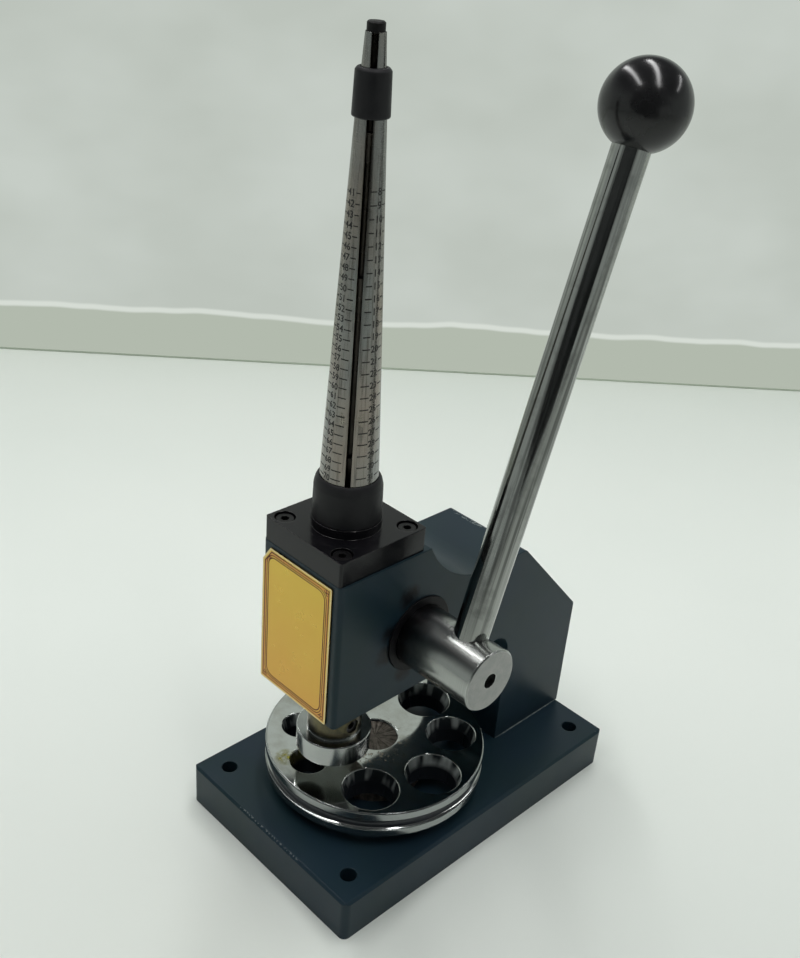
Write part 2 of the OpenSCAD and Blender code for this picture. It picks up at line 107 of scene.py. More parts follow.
class Finish:
    """A material with one Principled surface and the procedural nodes that drive it."""

    def __init__(self, name, values=()):
        self.material = bpy.data.materials.new(name)
        self.material.use_nodes = True
        self.tree = self.material.node_tree
        self.surface = next(n for n in self.tree.nodes if n.type == "BSDF_PRINCIPLED")
        self.place = self.node("TexCoord").outputs["Object"]
        for key, value in dict(values).items():
            self.feed(self.surface.inputs[key], value)

    def node(self, kind, inputs=(), **settings):
        made = self.tree.nodes.new("ShaderNode" + kind)
        for key, value in settings.items():
            setattr(made, key, value)
        for key, value in dict(inputs).items():
            self.feed(made.inputs[key], value)
        return made

    def feed(self, socket, value):
        if isinstance(value, bpy.types.NodeSocket):
            self.tree.links.new(value, socket)
        else:
            socket.default_value = value

    def set(self, key, value):
        self.feed(self.surface.inputs[key], value)

    def math(self, operation, a, b=0.0):
        return self.node("Math", {0: a, 1: b}, operation=operation).outputs[0]

    def vector(self, operation, a, b, out="Vector"):
        return self.node("VectorMath", {0: a, 1: b}, operation=operation).outputs[out]

    def noise(self, size, detail=2.0, stretch=(1, 1, 1), roughness=0.5, turn=None):
        """Soft noise whose features are about size across; stretch above 1 lengthens them."""
        place = self.place
        if turn:
            place = self.node("Mapping", {"Vector": place, "Rotation": turn}).outputs[0]
        scaled = self.vector("MULTIPLY", place, tuple(1 / (size * s) for s in stretch))
        return self.node("TexNoise", {"Vector": scaled, "Scale": 1.0, "Detail": detail,
                                      "Roughness": roughness}).outputs["Fac"]

    def bands(self, along, size, detail=2.0):
        """Noise that changes only with a distance, such as the marks of a turning tool."""
        return self.node("TexNoise", {"W": self.math("DIVIDE", along, size), "Scale": 1.0,
                                      "Detail": detail}, noise_dimensions="1D").outputs["Fac"]

    def distance_along(self, axis):
        return self.vector("DOT_PRODUCT", self.place, axis, out="Value")

    def radius_from(self, centre):
        """Distance from an upright axis."""
        flat = self.vector("MULTIPLY", self.vector("SUBTRACT", self.place, centre), (1, 1, 0))
        return self.node("VectorMath", {0: flat}, operation="LENGTH").outputs["Value"]

    def bearing_about(self, centre):
        """Angle round an upright axis, in radians."""
        parts = self.node("SeparateXYZ", {0: self.vector("SUBTRACT", self.place, centre)})
        return self.math("ARCTAN2", parts.outputs["Y"], parts.outputs["X"])

    def level(self, value, low, high, at_low=0.0, at_high=1.0):
        """Straight ramp from at_low to at_high, held beyond both ends."""
        return self.node("MapRange", {"Value": value, "From Min": low, "From Max": high,
                                      "To Min": at_low, "To Max": at_high}).outputs["Result"]

    def fade(self, value, low, high):
        """1 up to low, 0 from high on."""
        return self.level(value, low, high, at_low=1.0, at_high=0.0)

    def tint(self, factor, a, b):
        """Colour a where the factor is 0, b where it is 1."""
        return self.node("Mix", {0: factor, 6: a, 7: b}, data_type="RGBA").outputs[2]

    def near(self, point, radius, soft):
        """1 within radius of the point, 0 beyond radius + soft."""
        away = self.vector("DISTANCE", self.place, point, out="Value")
        return self.fade(away, radius, radius + soft)

    def rounded(self, radius):
        """Normal as if the edges were rounded."""
        return self.node("Bevel", {"Radius": radius}, samples=6).outputs["Normal"]

    def edges(self, radius):
        """1 at the edges, 0 on the faces."""
        flat = self.node("NewGeometry").outputs["Normal"]
        turned = self.vector("DOT_PRODUCT", flat, self.rounded(radius), out="Value")
        return self.level(turned, 0.999, 0.75)

    def relief(self, height, depth, under=None):
        """Bumps of the given depth, laid over the normal under them."""
        inputs = {"Height": height, "Distance": depth, "Strength": 1.0}
        if under is not None:
            inputs["Normal"] = under
        return self.node("Bump", inputs).outputs["Normal"]


def enamel():
    """Dark slate-blue satin paint: faint orange peel, a few chips, pale ones along the ridge and
    the base's front edge as painted highlights, black grease round the bush.
    """
    f = Finish("enamel", {"Specular IOR Level": 0.20})
    cloud = f.noise(34 * MM, 2)
    colour = f.tint(f.level(cloud, 0.35, 0.65), linear(26, 45, 50), linear(27, 44, 55))
    # Edges are barest at the places named above, and a little elsewhere; at the ridge's end and the
    # front edge the pale bare spots also paint the glints of those edges
    ridge_end = f.near(RIDGE_END, 8 * MM, 3 * MM)
    front_edge = f.near(FRONT_EDGE, 20 * MM, 4 * MM)
    wear_and_painted_light = f.math("MAXIMUM", ridge_end, front_edge)
    for spot in WORN_CORNERS:
        wear_and_painted_light = f.math("MAXIMUM", wear_and_painted_light, f.near(spot, 2 * MM, 4 * MM))
    grain = f.noise(1.3 * MM, 3, roughness=0.7)
    limit = f.level(wear_and_painted_light, 0.0, 1.0, 0.78, 0.55)
    # Rounded edges are found by their place, because only a sharp edge shows as one:
    # (where the edge runs along Y and half its width, both in mm; the place on it of wear and
    # painted glints)
    rubbed = f.edges(0.7 * MM)
    on_top = f.level(f.distance_along(UP), BASE_TOP - 0.6 * MM, BASE_TOP - 0.2 * MM)
    for line, half, spot in ((38.3, 1.0, ridge_end), (-82.0, 0.25, front_edge)):
        off = f.math("ABSOLUTE", f.math("SUBTRACT", f.distance_along((0, 1, 0)), line * MM))
        on_line = f.math("MULTIPLY", f.fade(off, half * MM, (half + 0.4) * MM), on_top)
        rubbed = f.math("MAXIMUM", rubbed, f.math("MULTIPLY", on_line, spot))
    chip_and_glint = f.math("MULTIPLY", rubbed, f.math("GREATER_THAN", grain, limit))
    smears = 0.0
    for y, z, radius in GREASE_SPOTS:
        smears = f.math("MAXIMUM", smears, f.near((HEAD_SIDE, y, z), radius * MM, 5 * MM))
    grease = f.level(f.math("MULTIPLY", smears, f.noise(3 * MM, 4, roughness=0.6)), 0.10, 0.45)
    greased = f.tint(grease, colour, linear(4, 8, 14))
    # Pale bare metal in the chips; at the ridge's end and the front edge it is also a painted
    # highlight
    f.set("Base Color", f.tint(chip_and_glint, greased, linear(126, 134, 134)))
    f.set("Metallic", f.math("MULTIPLY", chip_and_glint, 0.6))
    f.set("Roughness", f.level(f.noise(16 * MM, 2), 0.2, 0.8, 0.31, 0.38))
    peel = f.relief(f.noise(3.2 * MM, 1), 0.003 * MM, f.rounded(0.6 * MM))
    f.set("Normal", f.relief(chip_and_glint, 0.02 * MM, peel))
    return f.material


def blackened(name="black_oxide", shine=0.38, low=(20, 20, 22), high=(29, 27, 27), gloss=0.5,
              bare=(84, 82, 80)):
    """Black-oxide steel: nearly black, with faint tool marks and rubbed edges."""
    f = Finish(name, {"Specular IOR Level": gloss})
    cloud = f.noise(6 * MM, 4, roughness=0.6)
    colour = f.tint(f.level(cloud, 0.35, 0.7), linear(*low), linear(*high))
    rubbed = f.math("MULTIPLY", f.edges(0.4 * MM), f.level(f.noise(1.5 * MM, 3), 0.40, 0.62))
    f.set("Base Color", f.tint(rubbed, colour, linear(*bare)))
    f.set("Metallic", f.math("MULTIPLY", rubbed, 0.7))
    f.set("Roughness", f.level(cloud, 0.3, 0.7, shine - 0.04, shine + 0.08))
    marks = f.relief(f.noise(0.5 * MM, 2, stretch=(14, 1, 1)), 0.001 * MM, f.rounded(0.4 * MM))
    f.set("Normal", f.relief(f.noise(3 * MM, 1), 0.003 * MM, marks))
    return f.material


def ground_steel():
    """Ground steel of the mandrel: fine rings, casts of wear, a strip facing the camera made darker
    as a painted reflection of the unlit room, dull grey slots.
    """
    f = Finish("ground_steel")
    cast = f.noise(11 * MM, 3, stretch=(1, 1, 3))
    colour = f.tint(f.level(cast, 0.35, 0.65), linear(134, 136, 134), linear(146, 138, 130))
    up = f.distance_along(UP)
    tool = f.bands(up, 0.22 * MM, 3)
    streak = f.noise(0.8 * MM, 3, stretch=(1, 1, 30))
    wear_and_painted_light = f.tint(f.level(streak, 0.5, 0.75), colour, linear(98, 95, 91))
    fall = f.math("MULTIPLY", f.math("SUBTRACT", up, MANDREL_Z), MANDREL_TAPER)
    cone_fall = f.math("MULTIPLY", f.math("SUBTRACT", up, STEP_Z), STEP_TAPER)
    skin = f.math("MINIMUM", f.math("SUBTRACT", MANDREL_R, fall),
                  f.math("SUBTRACT", STEP_R, cone_fall))
    depth = f.math("SUBTRACT", skin, f.radius_from(RAM_AXIS))
    inside = f.level(depth, 0.12 * MM, 0.5 * MM)
    bearing = f.bearing_about(RAM_AXIS)
    # Painted dark reflection of the unlit room, in a strip of bearings facing the camera, higher up
    strip = f.math("MULTIPLY", f.fade(bearing, radians(-33), radians(-25)),
                   f.level(bearing, radians(-50), radians(-46)))
    painted_dark_reflection = f.math("MULTIPLY", strip, f.level(up, 225 * MM, 290 * MM, 0.0, 0.75))
    # From here the colour holds both the streaks of wear and the painted dark reflection
    wear_and_painted_light = f.tint(painted_dark_reflection, wear_and_painted_light, linear(52, 50, 46))
    f.set("Base Color", f.tint(inside, wear_and_painted_light, linear(150, 146, 128)))
    f.set("Metallic", f.fade(inside, 0.0, 1.0))
    tooled = f.level(f.math("ADD", tool, streak), 0.7, 1.3, 0.17, 0.30)
    f.set("Roughness", f.math("ADD", tooled, f.math("MULTIPLY", inside, 0.2)))
    f.set("Normal", f.relief(tool, 0.0012 * MM, f.rounded(0.25 * MM)))
    return f.material


def chromed(name, axis, colour=(160, 162, 159), rough=(0.06, 0.16), lean=0.0):
    """Bright plated bar with fine tool marks round its axis, smears and fine scratches."""
    f = Finish(name, {"Metallic": 1.0})
    smear = f.noise(9 * MM, 4, roughness=0.65)
    dull, streaked = (linear(*(share * c for c in colour)) for share in (0.8, 0.66))
    streak = f.noise(2.0 * MM, 3, stretch=(1, 1, 60), turn=(lean, 0, 0))
    tone = f.tint(f.level(smear, 0.5, 0.75), linear(*colour), dull)
    tone = f.tint(f.level(streak, 0.48, 0.64), tone, streaked)
    scratch = f.level(f.noise(0.5 * MM, 2, stretch=(1, 1, 24), turn=(lean, 0, 0)), 0.64, 0.70)
    f.set("Base Color", tone)
    f.set("Roughness", f.math("ADD", f.level(smear, 0.3, 0.75, *rough),
                              f.math("MULTIPLY", scratch, 0.12)))
    rings = f.relief(f.bands(f.distance_along(axis), 0.3 * MM, 3), 0.0006 * MM,
                     f.rounded(0.3 * MM))
    f.set("Normal", f.relief(f.noise(5 * MM, 2), 0.006 * MM, rings))
    return f.material


def turned_shaft():
    """Lever shaft: satin turned bar, with a painted dark reflection of the head's side near the
    head, painted shade by the lever rod's root, and a painted highlight on the edge at its end.
    """
    f = Finish("turned_shaft", {"Metallic": 1.0})
    out = f.distance_along((1, 0, 0))
    rings = f.bands(out, 0.25 * MM, 3)
    colour = f.tint(f.level(rings, 0.35, 0.7), linear(176, 179, 176), linear(156, 158, 155))
    # Painted dark reflection of the head's dark side, from the head out to a ragged end
    ragged = f.math("ADD", out, f.math("MULTIPLY", f.noise(5 * MM, 4, roughness=0.6), 12 * MM))
    painted_dark_reflection = f.fade(ragged, 33 * MM, 47 * MM)
    # Painted shade beside the lever rod's root
    rod_root = (0.047, SHAFT_AXIS.y + 0.004, SHAFT_AXIS.z + 0.0135)
    darkened = f.math("MAXIMUM", painted_dark_reflection, f.math("MULTIPLY", f.near(rod_root, 7 * MM, 1.5 * MM), 0.5))
    end_face = f.level(out, 61.4 * MM, 61.65 * MM)
    colour = f.tint(f.math("MULTIPLY", darkened, 0.9), colour, linear(48, 45, 50))
    mottle = f.level(f.noise(3 * MM, 4, roughness=0.65), 0.3, 0.7)
    colour = f.tint(end_face, colour, f.tint(mottle, linear(152, 151, 149), linear(134, 136, 135)))
    # Painted highlight on the edge at the shaft's end
    painted_edge_highlight = f.math("MULTIPLY", f.edges(0.4 * MM), f.level(out, 60 * MM, 60.5 * MM))
    f.set("Base Color", f.tint(painted_edge_highlight, colour, linear(236, 238, 236)))
    f.set("Roughness", f.level(rings, 0.3, 0.7, 0.20, 0.27))
    f.set("Normal", f.relief(rings, 0.0011 * MM, f.rounded(0.3 * MM)))
    return f.material


def pressing_steel():
    """The presser: polished foot, and a stem with a thin brown-yellow film of oil."""
    f = Finish("pressing_steel", {"Metallic": 1.0})
    up = f.distance_along(UP)
    film = f.level(up, 59.4 * MM, 60.6 * MM)
    patch = f.level(f.noise(5 * MM, 4, roughness=0.65), 0.3, 0.65)
    oil = f.tint(patch, linear(74, 72, 66), linear(112, 106, 80))
    f.set("Base Color", f.tint(film, linear(176, 179, 177), oil))
    f.set("Roughness", f.math("ADD", f.level(film, 0, 1, 0.13, 0.28),
                              f.math("MULTIPLY", patch, 0.06)))
    rings = f.relief(f.bands(up, 0.25 * MM, 3), 0.0008 * MM, f.rounded(0.4 * MM))
    f.set("Normal", f.relief(f.noise(6 * MM, 2), 0.004 * MM, rings))
    return f.material


def mirror_plate():
    """The die plate: lapped top with faint circles, bores with painted streaks of reflection and
    painted shade deep down, and spots of grease.
    """
    f = Finish("mirror_plate")
    radius = f.radius_from(PLATE_CENTRE)
    up = f.distance_along(UP)
    lapped = f.bands(radius, 0.5 * MM, 3)
    smear = f.noise(10 * MM, 4, roughness=0.6)
    base = f.tint(f.level(smear, 0.4, 0.7), linear(196, 199, 197), linear(176, 176, 170))
    drop = f.math("MULTIPLY", f.near(GREASE_DROP, 2.5 * MM, 3 * MM),
                  f.level(f.noise(3.5 * MM, 3, roughness=0.6), 0.36, 0.60))
    rust = f.math("MULTIPLY", f.near(RUST_PATCH, 12 * MM, 8 * MM),
                  f.level(f.noise(2.2 * MM, 5, roughness=0.7), 0.55, 0.68))
    darkened = f.tint(drop, f.tint(rust, base, linear(120, 104, 84)), linear(150, 144, 58))
    # Walls of the bores: upright streaks of painted reflection in the cone, painted shade in the
    # land below it
    below_top = f.fade(up, 38.3 * MM, 38.6 * MM)
    inside_rim = f.fade(radius, 47.2 * MM, 47.5 * MM)
    in_bore = f.math("MULTIPLY", below_top, inside_rim)
    # Painted reflection: pale upright streaks on a dark wall
    streak = f.level(f.noise(4.6 * MM, 1, stretch=(1, 1, 14)), 0.44, 0.62)
    wall = f.tint(streak, linear(42, 48, 51), linear(196, 203, 200))
    olive = f.near(OILY_BORE, 7 * MM, 3 * MM)
    wall = f.tint(f.math("MULTIPLY", olive, 0.7), wall, linear(104, 98, 52))
    # Painted shade deep in the bore, over the land
    land = f.fade(up, 32.8 * MM, 35.0 * MM)
    wall = f.tint(land, wall, linear(46, 49, 54))
    on_rim = f.level(radius, 47.6 * MM, 48.0 * MM)
    darkened = f.tint(on_rim, darkened, linear(160, 164, 163))
    f.set("Base Color", f.tint(in_bore, darkened, wall))
    f.set("Metallic", f.level(in_bore, 0.0, 1.0, 1.0, 0.35))
    dull = f.math("MAXIMUM", drop, rust)
    polish = f.math("ADD", f.level(smear, 0.35, 0.75, 0.04, 0.12), f.math("MULTIPLY", dull, 0.25))
    machined = f.math("MAXIMUM", in_bore, on_rim)
    f.set("Roughness", f.math("ADD", polish, f.math("MULTIPLY", machined, 0.10)))
    rim = f.relief(f.bands(up, 0.4 * MM, 2), 0.0008 * MM, f.rounded(0.3 * MM))
    f.set("Normal", f.relief(lapped, 0.0005 * MM, rim))
    return f.material


def spindle_steel():
    """Rough spindle end: brown-grey, mottled, with marks that run out from the middle."""
    f = Finish("spindle_steel", {"Metallic": 0.75})
    bearing = f.bearing_about(PLATE_CENTRE)
    rays = f.bands(bearing, 0.16, 3)
    mottle = f.noise(2.2 * MM, 5, roughness=0.7)
    shade = f.level(f.math("ADD", rays, mottle), 0.75, 1.25)
    f.set("Base Color", f.tint(shade, linear(40, 34, 30), linear(124, 116, 107)))
    f.set("Roughness", f.level(mottle, 0.3, 0.7, 0.32, 0.55))
    f.set("Normal", f.relief(shade, 0.05 * MM, f.rounded(0.5 * MM)))
    return f.material


def gold_foil():
    """Satin gold plate: pale edge, with a painted highlight along the cut corner, orange band
    inside it, dull cut sides, warmer lower down.
    """
    f = Finish("gold_foil", {"Metallic": 1.0})
    parts = f.node("SeparateXYZ", {0: f.place})
    (x0, _), (z0, z1), (cut_w, cut_h) = NAME_PLATE_X, NAME_PLATE_Z, NAME_PLATE_CUT
    inset = []
    for key, (low, high) in (("X", NAME_PLATE_X), ("Z", NAME_PLATE_Z)):
        off = f.math("ABSOLUTE", f.math("SUBTRACT", parts.outputs[key], (low + high) / 2))
        inset.append(f.math("SUBTRACT", (high - low) / 2, off))
    # Distance from the cut corner's edge, along which the pale rim paints the glint of the bent
    # edge
    across = f.math("DIVIDE", f.math("SUBTRACT", parts.outputs["X"], x0), cut_w)
    down = f.math("DIVIDE", f.math("SUBTRACT", z1, parts.outputs["Z"]), cut_h)
    reach = cut_w * cut_h / (cut_w ** 2 + cut_h ** 2) ** 0.5
    off_cut = f.math("MULTIPLY", f.math("SUBTRACT", f.math("ADD", across, down), 1.0), reach)
    edge = f.math("MINIMUM", f.math("MINIMUM", *inset), off_cut)
    # Pale rim at the edges; along the cut corner it is a painted highlight
    rim = f.fade(edge, 0.6 * MM, 0.9 * MM)
    band = f.math("MULTIPLY", f.level(edge, 1.5 * MM, 1.8 * MM),
                  f.fade(edge, 2.7 * MM, 3.1 * MM))
    low_down = f.fade(parts.outputs["Z"], z0, z1)
    warm = f.level(f.math("ADD", low_down, f.math("MULTIPLY", f.noise(14 * MM, 2), 0.5)), 0.3, 1.2)
    gold = f.tint(warm, linear(216, 183, 84), linear(216, 167, 82))
    gold = f.tint(band, gold, linear(208, 152, 80))
    gold = f.tint(rim, gold, linear(218, 198, 146))
    normal = f.node("NewGeometry").outputs["Normal"]
    facing = f.vector("DOT_PRODUCT", normal, (0, -1, 0), out="Value")
    cut_side = f.fade(facing, 0.5, 0.9)
    f.set("Base Color", f.tint(cut_side, gold, linear(132, 98, 48)))
    f.set("Roughness", f.level(f.noise(6 * MM, 2), 0.3, 0.7, 0.27, 0.34))
    f.set("Normal", f.relief(f.noise(16 * MM, 1), 0.03 * MM, f.rounded(0.2 * MM)))
    return f.material


def rubber():
    """Matt black rubber of both sleeves."""
    f = Finish("rubber", {"Specular IOR Level": 0.25})
    cloud = f.noise(4 * MM, 4, roughness=0.6)
    f.set("Base Color", f.tint(f.level(cloud, 0.3, 0.7), linear(22, 22, 25), linear(31, 31, 33)))
    f.set("Roughness", f.level(cloud, 0.3, 0.7, 0.42, 0.58))
    f.set("Normal", f.relief(f.noise(0.5 * MM, 2), 0.006 * MM, f.rounded(0.4 * MM)))
    return f.material


def ball_plastic():
    """Black phenolic ball with a soft gloss, faintly uneven, with hairline scratches."""
    f = Finish("ball_plastic", {"Specular IOR Level": 0.42})
    cloud = f.noise(8 * MM, 3)
    f.set("Base Color", f.tint(f.level(cloud, 0.3, 0.7), linear(25, 25, 26), linear(31, 31, 32)))
    hair = f.level(f.noise(0.6 * MM, 2, stretch=(12, 1, 3)), 0.66, 0.72)
    f.set("Roughness", f.math("ADD", f.level(cloud, 0.3, 0.7, 0.15, 0.21),
                              f.math("MULTIPLY", hair, 0.08)))
    f.set("Normal", f.relief(f.noise(3 * MM, 2), 0.002 * MM))
    return f.material


def bronze():
    """Turned bronze and brass of the left bush and the knob's insert."""
    f = Finish("bronze", {"Metallic": 1.0})
    cloud = f.noise(5 * MM, 4)
    f.set("Base Color", f.tint(f.level(cloud, 0.3, 0.7), linear(170, 130, 74),
                               linear(140, 104, 62)))
    f.set("Roughness", f.level(cloud, 0.3, 0.7, 0.28, 0.42))
    turned = f.bands(f.radius_from(SHAFT_AXIS), 0.4 * MM)
    f.set("Normal", f.relief(turned, 0.001 * MM, f.rounded(0.3 * MM)))
    return f.material


def scale_ink(name, colour):
    """Dark fill of the etched marks, thinner in places."""
    f = Finish(name, {"Specular IOR Level": 0.3})
    thin = f.level(f.noise(0.7 * MM, 3), 0.35, 0.75)
    pale = tuple(c * 1.5 for c in colour)
    f.set("Base Color", f.tint(thin, linear(*colour), linear(*pale)))
    f.set("Roughness", f.level(thin, 0, 1, 0.4, 0.6))
    f.set("Normal", f.relief(thin, 0.004 * MM))
    return f.material


def dress_cad(nodes, black_rubber):
    """Gives every CAD node its finish."""
    paint, black, ground, brass = enamel(), blackened(), ground_steel(), bronze()
    rod_axis = (0.0, sin(LEVER_LEAN), cos(LEVER_LEAN))
    finish_of = {
        "base_plate": paint, "frame": paint,
        "mandrel_cover": blackened("cover_oxide", 0.16, (15, 15, 18), (20, 19, 22), 0.3),
        "cover_screws": blackened("screw_oxide", 0.3, (12, 12, 13), (18, 17, 18), 0.25,
                                  (40, 40, 40)),
        "frame_bolts": black,
        "shaft_bush_right": blackened("bush_oxide", 0.42, (10, 10, 13), (19, 17, 20), 0.15,
                                      (24, 23, 25)),
        "shaft_washer": black, "shaft_screw": black, "lever_lock_screw": black,
        "presser_screw": black, "draw_rod_nut": black,
        "draw_rod_tip": blackened("tip_oxide", 0.5, (15, 15, 16), (22, 21, 21), 0.2),
        "name_plate": gold_foil(),
        "shaft_bush_left": brass, "knob_insert": brass,
        "pinion_shaft": turned_shaft(),
        "lever_rod": chromed("chromed_lever", rod_axis, lean=LEVER_LEAN),
        "ball_knob": ball_plastic(),
        "rack_ram": chromed("ground_ram", UP, (150, 150, 147), (0.14, 0.26)),
        "draw_rod": chromed("ground_rod", UP, (70, 66, 62), (0.24, 0.38)),
        "presser": pressing_steel(),
        "die_plate": mirror_plate(),
        "plate_spindle": spindle_steel(),
        "lower_sleeve": black_rubber, "upper_sleeve": black_rubber,
    }
    for quarter in range(1, 5):
        finish_of[f"mandrel_segment_{quarter}"] = ground
    for name, node in nodes.items():
        for slot in node.material_slots:
            slot.material = finish_of[name]


# ---------------------------------------------------------------- mesh pieces

def linked(name, data):
    """New object in the scene."""
    made = bpy.data.objects.new(name, data)
    bpy.context.scene.collection.objects.link(made)
    return made


def mesh_object(name, bm, material):
    """New mesh object in the scene, made from a bmesh, which is freed."""
    mesh = bpy.data.meshes.new(name)
    bm.to_mesh(mesh)
    bm.free()
    mesh.materials.append(material)
    return linked(name, mesh)


def new_piece(name, bm, material, body):
    """Piece of the part itself, which moves with a body."""
    bmesh.ops.recalc_face_normals(bm, faces=bm.faces)
    piece = mesh_object(name, bm, material)
    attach(piece, body)
    return piece


def on_mandrel(along, z, lift):
    """Point on the mandrel's skin: along is the bearing in radians."""
    r = mandrel_radius(z) + lift
    return Vector((r * cos(along), RAM_AXIS_Y + r * sin(along), z))


def digit_shapes(height, bold):
    """Filled outlines of the ten digits, sliced so that they can bend round the mandrel."""
    shapes = {}
    for digit in "0123456789":
        curve = bpy.data.curves.new("digit", "FONT")
        curve.body = digit
        curve.offset = bold
        curve.resolution_u = 3
        holder = linked("digit", curve)
        view = bpy.context.evaluated_depsgraph_get()
        mesh = bpy.data.meshes.new_from_object(holder.evaluated_get(view))
        bm = bmesh.new()
        bm.from_mesh(mesh)
        bpy.data.objects.remove(holder)
        bpy.data.meshes.remove(mesh)
        bpy.data.curves.remove(curve)
        xs, ys = [v.co.x for v in bm.verts], [v.co.y for v in bm.verts]
        middle = Vector(((min(xs) + max(xs)) / 2, (min(ys) + max(ys)) / 2, 0))
        scale = height / (max(ys) - min(ys))
        for v in bm.verts:
            v.co = (v.co - middle) * scale
        wide, slices = (max(xs) - min(xs)) * scale, 5
        for i in range(1, slices):
            cut = (i / slices - 0.5) * wide
            bmesh.ops.bisect_plane(bm, geom=bm.verts[:] + bm.edges[:] + bm.faces[:],
                                   plane_co=(cut, 0, 0), plane_no=(1, 0, 0))
        bm.verts.index_update()
        shapes[digit] = ([v.co.copy() for v in bm.verts],
                         [[v.index for v in face.verts] for face in bm.faces])
        bm.free()
    return shapes


class MandrelPrint:
    """Ticks and numbers laid on the mandrel's skin."""

    lift = 0.025 * MM

    def __init__(self, shapes):
        self.bm = bmesh.new()
        self.shapes = shapes

    def patch(self, points, faces):
        made = [self.bm.verts.new(p) for p in points]
        for face in faces:
            self.bm.faces.new([made[i] for i in face])

    def tick(self, start, end, z, thickness):
        steps = max(2, ceil(abs(end - start) / radians(4)))
        points, faces = [], []
        for i in range(steps + 1):
            along = start + (end - start) * i / steps
            points += [on_mandrel(along, z - thickness / 2, self.lift),
                       on_mandrel(along, z + thickness / 2, self.lift)]
        for i in range(steps):
            faces.append((2 * i, 2 * i + 2, 2 * i + 3, 2 * i + 1))
        self.patch(points, faces)

    def number(self, text, middle, z, pitch):
        """Writes the digits round the bearing middle, pitch apart; returns half their arc."""
        r = mandrel_radius(z)
        for i, digit in enumerate(text):
            shift = (i - (len(text) - 1) / 2) * pitch
            points, faces = self.shapes[digit]
            self.patch([on_mandrel(middle + (p.x + shift) / r, z + p.y, self.lift) for p in points],
                       faces)
        return len(text) * pitch / 2 / r


TICK = 0.38 * MM             # thickness of a tick
DIGIT_HEIGHT = 2.45 * MM
DIGIT_BOLD = 0.012           # outward offset of the outlines, as a share of the type size
DIGIT_PITCH = 1.72 * MM
DIGIT_GAP = 0.32 * MM        # between a number and the tick beside it
# Heights of the marks in mm: (a number, its height, drop for each number after it)
RIGHT_SCALE, LEFT_SCALE = (12, 267.97, 4.5), (41, 285.16, 3.583)


def mandrel_scale(name, body, numbers, heights, arc, shapes):
    """One column of sizes. arc is (first bearing, last bearing, the numbers' middle)."""
    marks = MandrelPrint(shapes)
    first, last, middle = (radians(a) for a in arc)
    datum, height, drop = heights
    for n in numbers:
        z = (height - drop * (n - datum)) * MM
        half = marks.number(str(n), middle, z, DIGIT_PITCH) + DIGIT_GAP / mandrel_radius(z)
        marks.tick(first, middle - half, z, TICK)
        marks.tick(middle + half, last, z, TICK)
    new_piece(name, marks.bm, scale_ink(name + "_ink", (26, 25, 25)), body)


def ribbon(bm, path, width, lift, closed=False):
    """Flat line on the name plate's face along points given as (x, z)."""
    count = len(path)
    rows = []
    for i, (x, z) in enumerate(path):
        before = path[(i - 1) % count] if closed or i else path[i]
        after = path[(i + 1) % count] if closed or i < count - 1 else path[i]
        run = Vector((after[0] - before[0], after[1] - before[1])).normalized()
        side = Vector((-run.y, run.x)) * width / 2
        y = NAME_PLATE_FRONT - lift
        rows.append([bm.verts.new((x + s * side.x, y, z + s * side.y)) for s in (-1, 1)])
    for i in range(count if closed else count - 1):
        a, b = rows[i], rows[(i + 1) % count]
        bm.faces.new((a[0], b[0], b[1], a[1]))


def rounded_frame(inset, radius, steps=8):
    """Closed path inside the name plate's outline with rounded corners."""
    (x0, x1), (z0, z1) = NAME_PLATE_X, NAME_PLATE_Z
    x0, x1, z0, z1 = x0 + inset, x1 - inset, z0 + inset, z1 - inset
    corners = [(x1 - radius, z1 - radius, 0), (x0 + radius, z1 - radius, 90),
               (x0 + radius, z0 + radius, 180), (x1 - radius, z0 + radius, 270)]
    path = []
    for cx, cz, start in corners:
        for i in range(steps + 1):
            a = radians(start + 90 * i / steps)
            path.append((cx + radius * cos(a), cz + radius * sin(a)))
    return path


def cut_frame(inset):
    """Closed path that follows the name plate's outline, cut corner and all."""
    (x0, x1), (z0, z1), (cut_w, cut_h) = NAME_PLATE_X, NAME_PLATE_Z, NAME_PLATE_CUT
    slant = (cut_w ** 2 + cut_h ** 2) ** 0.5
    run_x = cut_w + inset * (slant - cut_w) / cut_h    # where the cut meets the inset edges
    run_z = cut_h + inset * (slant - cut_h) / cut_w
    return [(x1 - inset, z0 + inset), (x1 - inset, z1 - inset), (x0 + run_x, z1 - inset),
            (x0 + inset, z1 - run_z), (x0 + inset, z0 + inset)]


def scroll(bm, corner, sx, sz, size, width, lift):
    """Two mirrored curls that fill a corner of the name plate's border."""
    for flip in (0, 1):
        curl = []
        for i in range(13):
            turn = radians(-60 + 24 * i)
            r = (0.95 - 0.055 * i) * size
            u, v = 1.15 * size - r * cos(turn), r * sin(turn)
            if flip:
                u, v = v, u
            curl.append((corner[0] - sx * u, corner[1] - sz * v))
        ribbon(bm, curl, width, lift)


def plate_print():
    """Printed border of the plain name plate: one line, two finer ones, a scroll in each corner."""
    bm = bmesh.new()
    lift = 0.02 * MM
    ribbon(bm, cut_frame(1.5 * MM), 0.66 * MM, lift, closed=True)
    ribbon(bm, rounded_frame(2.7 * MM, 4.4 * MM, 12), 0.40 * MM, lift, closed=True)
    ribbon(bm, rounded_frame(3.6 * MM, 3.9 * MM, 12), 0.50 * MM, lift, closed=True)
    for sx, cx in ((-1, NAME_PLATE_X[0]), (1, NAME_PLATE_X[1])):
        for sz, cz in ((-1, NAME_PLATE_Z[0]), (1, NAME_PLATE_Z[1])):
            by_cut = (sx, sz) == (-1, 1)
            inset, size = (4.1 * MM, 0.75 * MM) if by_cut else (2.5 * MM, 1.0 * MM)
            scroll(bm, (cx - sx * inset, cz - sz * inset), sx, sz, size, 0.44 * MM, lift)
    new_piece("name_plate_print", bm, scale_ink("print_ink", (88, 40, 20)), "stand")


